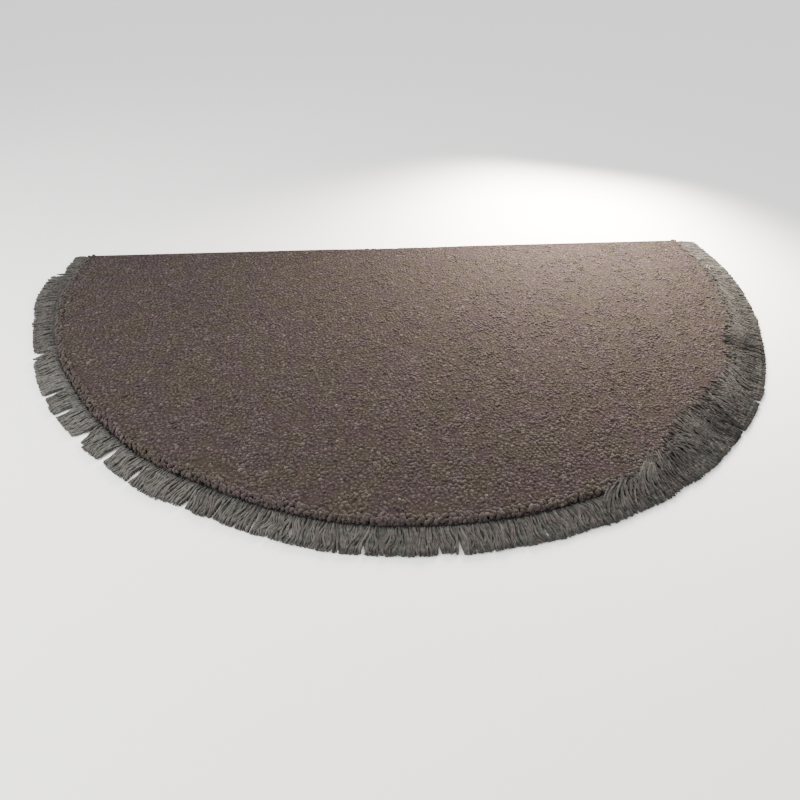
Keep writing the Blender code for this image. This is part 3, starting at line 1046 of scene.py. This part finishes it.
def make_fringe_piece(name, lines, lock_tones, thickness, root_stretch, chance):
    """One joined piece of fringe yarns, with the painted shade at their roots stretched along them."""
    count = len(lines)
    along = np.gradient(lines, axis=1)
    across = np.cross(along, np.array([0.0, 0.0, 1.0]))
    taper = np.interp(np.linspace(0, 1, YARN_RINGS), *zip(*YARN_THICKNESS))
    thick = chance.uniform(*YARN_SIZES, (count, 1)) * YARN_RADIUS * taper * thickness
    thick = thick * chance.uniform(*YARN_LUMPS, (count, YARN_RINGS))
    flat = np.minimum(thick, YARN_RADIUS)
    piece, ring = bend_yarns(name, lines, across, thick, flat, YARN_SIDES)
    # Painted light and shade by the yarn's place round the edge, added to the lock's own random tone.
    angles = np.degrees(round_front(lines[:, :1, 0], CENTRE_Y - lines[:, :1, 1]))
    tone = np.interp(angles[:, 0], *zip(*LOCK_PAINTED_LIGHT)) + lock_tones
    tone = (tone + chance.normal(0, YARN_TONE_SPREAD, count)).clip(-1, 1)
    set_attribute(piece, "tone", np.repeat(tone[:, None], len(ring), axis=1))
    # Painted shade at the roots: shifted so that it shows along the yarns only where the groove under
    # the round edge is shaded.
    start = chance.uniform(-ROOT_SHADE_SPREAD, ROOT_SHADE_SPREAD, (count, 1))
    start += ROOT_SHADE_ENDS * (1 - np.interp(angles, GROOVE_ANGLES, GROOVE_SHADE_STRENGTHS)) / root_stretch
    set_attribute(piece, "along", ring / (YARN_RINGS - 1) / root_stretch + start)
    return piece


def fringe_material():
    """Grey yarn, uneven from strand to strand, with a loose twist, painted shade at its roots and in
    dark spots, and painted light and shade by its place round the edge.
    """
    material, tree, shader = new_material("fringe_wool", WOOL_ROUGHNESS, WOOL_SHEEN)
    place = object_place(tree)
    drift = noise_node(tree, place, FRINGE_DRIFT_SCALE, FRINGE_DRIFT_DETAIL)
    drift = scale_and_shift(tree, drift, FRINGE_DRIFT_CONTRAST, FRINGE_DRIFT_SHIFT)
    grey = mix_colours(tree, math_node(tree, "MINIMUM", drift, 1.0), FRINGE_GREY, FRINGE_MAUVE)
    tone = attribute_node(tree, "tone")
    pale = math_node(tree, "POWER", math_node(tree, "MAXIMUM", tone, 0.0), FRINGE_PALE_RARITY)
    yarn = mix_colours(tree, pale, grey, FRINGE_PALE)
    fibres = noise_node(tree, place, FRINGE_FIBRE_SCALE, FRINGE_FIBRE_DETAIL)
    body = scale_and_shift(tree, fibres, FRINGE_SHADE_CONTRAST, FRINGE_SHADE_SHIFT)
    body = math_node(tree, "ADD", body, math_node(tree, "MULTIPLY", tone, FRINGE_TONE_LIGHT))
    # Painted shade at the roots, where the yarns run under the pile's edge.
    past_root_shade = add_node(
        tree, "ShaderNodeMapRange", {"From Min": ROOT_SHADE_STARTS, "From Max": ROOT_SHADE_ENDS})
    tree.links.new(attribute_node(tree, "along"), past_root_shade.inputs["Value"])
    body = math_node(tree, "MULTIPLY", body, past_root_shade.outputs["Result"])
    # Painted shade: the yarn is mixed towards the shadow colour in spots and at its roots.
    yarn = mix_colours(tree, math_node(tree, "MINIMUM", body, 1.0), FRINGE_SHADOW, yarn)
    tree.links.new(yarn, shader.inputs["Base Color"])
    twist, _ = plied_bump(tree, FRINGE_PLY_TURNS, FRINGE_PLIES, FRINGE_PLY_DEPTH)
    fuzz_over_twist(tree, shader, fibres, twist, FRINGE_FUZZ, FRINGE_FUZZ_DEPTH)
    return material


fringe_chance = np.random.default_rng(FRINGE_SEED)
fringe_lines, fringe_lock, fringe_thickness = make_fringe_lines(fringe_chance)
lock_tones = fringe_chance.normal(0, LOCK_TONE_SPREAD, LOCK_COUNT)[fringe_lock]
fringe_wool = fringe_material()
fringe_parts = [
    np.array_split(values, FRINGE_PIECES) for values in (fringe_lines, lock_tones, fringe_thickness)]
for number, (lines, tones, thickness) in enumerate(zip(*fringe_parts)):
    yarns = make_fringe_piece(
        f"fringe_yarns_{number + 1}", lines, tones, thickness[:, None],
        root_stretch=1.0, chance=fringe_chance)
    yarns.data.materials.append(fringe_wool)
    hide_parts("fringe")
    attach(yarns, "root")

# Brushed yarns
# Yarns of the same fringe, on the right, that start in the pile's edge. They were brushed out over it
# every way, so the groove between the pile and the fringe is covered there.
BRUSHED_COUNT = 580
BRUSHED_ANGLES = (6, 72)
BRUSHED_INSETS = (
    # angle in degrees, how far inside the rim the yarns start
    (6, 0.006),
    (18, 0.013),
    (30, 0.020),
    (42, 0.024),
    (52, 0.036),
    (60, 0.032),
    (68, 0.013),
    (72, 0.006),
)
BRUSHED_CLUMPS = 0.5
BRUSHED_INSIDE = (0.25, 1.0)
BRUSHED_HASTE = 0.9
BRUSHED_TURNS = (0.8, 1.8)
BRUSHED_OUTWARD = (0.010, 0.038)
BRUSHED_SWEEP = 0.026
BRUSHED_SIDE = 0.015
BRUSHED_LIFT = (-0.0004, 0.0010)
BRUSHED_ROOT_DIP = 0.0030
BRUSHED_DIP_GROWTH = 5
# How far the painted shade at the roots reaches along the brushed yarns, where they sink into the pile.
BRUSHED_ROOT_STRETCH = 2.0
BRUSHED_THICKNESS = 0.85
BRUSHED_BED = (
    # distance outside the rim, height of a yarn that lies there
    (-0.0060, 0.0131),
    (-0.0020, 0.0127),
    (0.0030, 0.0113),
    (0.0110, 0.0090),
    (0.0210, 0.0068),
    (0.0400, 0.0044),
)


def brushed_lines(chance):
    """Yarns on the right that start in the pile's edge and were brushed out over it, every way."""
    start, stop = (math.radians(angle) for angle in BRUSHED_ANGLES)
    root_angle = np.sort(chance.uniform(start, stop, BRUSHED_COUNT))
    share = np.linspace(0, 1, YARN_RINGS)[None]
    reach = np.interp(np.degrees(root_angle), *zip(*BRUSHED_INSETS))
    reach *= 1 + BRUSHED_CLUMPS * smooth_chance(chance, root_angle, CLUMP_LENGTH)
    inset = (reach * chance.uniform(*BRUSHED_INSIDE, BRUSHED_COUNT))[:, None]
    outward = chance.uniform(*BRUSHED_OUTWARD, (BRUSHED_COUNT, 1))
    side = BRUSHED_SWEEP * smooth_chance(chance, root_angle, CLUMP_LENGTH)
    side = (side + chance.normal(0, BRUSHED_SIDE, BRUSHED_COUNT))[:, None]
    crimp = sway(chance, BRUSHED_COUNT, share, YARN_WAVE, *BRUSHED_TURNS)
    depth = inset - (inset + outward) * share ** BRUSHED_HASTE
    radius = rim_radius(root_angle)[:, None] - depth
    angle = root_angle[:, None] + (side * np.sin(share * math.pi / 2) + crimp) / radius
    x, y = at_rim(angle, radius)
    y = np.minimum(y, cad_high.y - YARN_RADIUS)
    z = np.interp(-depth, *zip(*BRUSHED_BED)) + chance.uniform(*BRUSHED_LIFT, (BRUSHED_COUNT, 1))
    z -= BRUSHED_ROOT_DIP * (1 - np.clip(share * BRUSHED_DIP_GROWTH, 0, 1))
    return np.stack([x, y, z], axis=2)


brushed = make_fringe_piece(
    "fringe_brushed", brushed_lines(fringe_chance), lock_tones=0.0, thickness=BRUSHED_THICKNESS,
    root_stretch=BRUSHED_ROOT_STRETCH, chance=fringe_chance)
brushed.data.materials.append(fringe_wool)
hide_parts("fringe")
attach(brushed, "root")

# Floor, light and camera
# A pale floor, a soft lamp behind the rug's right end that lights its back, a wider and weaker one
# on the left, a pale surround, and a wide-angle camera above the round edge.
FLOOR_SIZE = 14.0
FLOOR_DROP = 0.0003
FLOOR_COLOUR = (0.93, 0.925, 0.91, 1)
FLOOR_ROUGHNESS = 0.9
KEY_PLACE = Vector((0.50, 0.66, 0.42))
KEY_AIM = Vector((0.38, 0.38, 0.0))
KEY_SIZE = 0.50
KEY_SPREAD = math.radians(112)
KEY_POWER = 30.0
KEY_COLOUR = (1.0, 0.87, 0.73)
FILL_PLACE = Vector((-1.45, -0.45, 1.05))
FILL_AIM = Vector((-0.4, 0.0, 0.0))
FILL_SIZE = 1.2
FILL_POWER = 39.0
FILL_COLOUR = (1.0, 0.98, 0.95)
FILL_SPREAD = math.radians(150)
SURROUND_COLOUR = (0.97, 0.98, 1.0, 1)
SURROUND_STRENGTH = 1.41
CAMERA_PLACE = Vector((-0.1251, -0.7192, 0.5523))
CAMERA_YAW = math.radians(7.382)
CAMERA_PITCH = math.radians(41.797)
CAMERA_ROLL = math.radians(1.878)
CAMERA_LENS = 24.55


def make_floor():
    """The pale floor, just under the rug."""
    shape = bmesh.new()
    bmesh.ops.create_grid(shape, x_segments=1, y_segments=1, size=FLOOR_SIZE / 2)
    bmesh.ops.translate(shape, vec=(0, 0, -FLOOR_DROP), verts=shape.verts)
    floor = shape_to_piece("floor", shape)
    material = bpy.data.materials.new("pale_floor")
    material.use_nodes = True
    shader = material.node_tree.nodes["Principled BSDF"]
    shader.inputs["Base Color"].default_value = FLOOR_COLOUR
    shader.inputs["Roughness"].default_value = FLOOR_ROUGHNESS
    floor.data.materials.append(material)


def add_lamp(name, place, aim, size, spread, power, colour):
    """A square soft lamp that faces a point."""
    data = bpy.data.lights.new(name, "AREA")
    data.size = size
    data.spread = spread
    data.energy = power
    data.color = colour
    lamp = bpy.data.objects.new(name, data)
    lamp.location = place
    lamp.rotation_euler = (aim - place).to_track_quat("-Z", "Y").to_euler()
    lamp.visible_camera = False
    bpy.context.scene.collection.objects.link(lamp)


def make_surround():
    """Even pale light from all round."""
    world = bpy.data.worlds.new("surround")
    world.use_nodes = True
    background = world.node_tree.nodes["Background"]
    background.inputs["Color"].default_value = SURROUND_COLOUR
    background.inputs["Strength"].default_value = SURROUND_STRENGTH
    bpy.context.scene.world = world


def make_camera():
    """The camera, turned by its yaw, its pitch down and its roll."""
    data = bpy.data.cameras.new("camera")
    data.lens = CAMERA_LENS
    camera = bpy.data.objects.new("camera", data)
    turn = Matrix.Rotation(-CAMERA_YAW, 4, "Z") @ Matrix.Rotation(math.pi / 2 - CAMERA_PITCH, 4, "X")
    camera.matrix_world = Matrix.Translation(CAMERA_PLACE) @ turn @ Matrix.Rotation(CAMERA_ROLL, 4, "Z")
    bpy.context.scene.collection.objects.link(camera)
    bpy.context.scene.camera = camera


make_floor()
add_lamp("key", KEY_PLACE, KEY_AIM, KEY_SIZE, KEY_SPREAD, KEY_POWER, KEY_COLOUR)
add_lamp("fill", FILL_PLACE, FILL_AIM, FILL_SIZE, FILL_SPREAD, FILL_POWER, FILL_COLOUR)
make_surround()
make_camera()
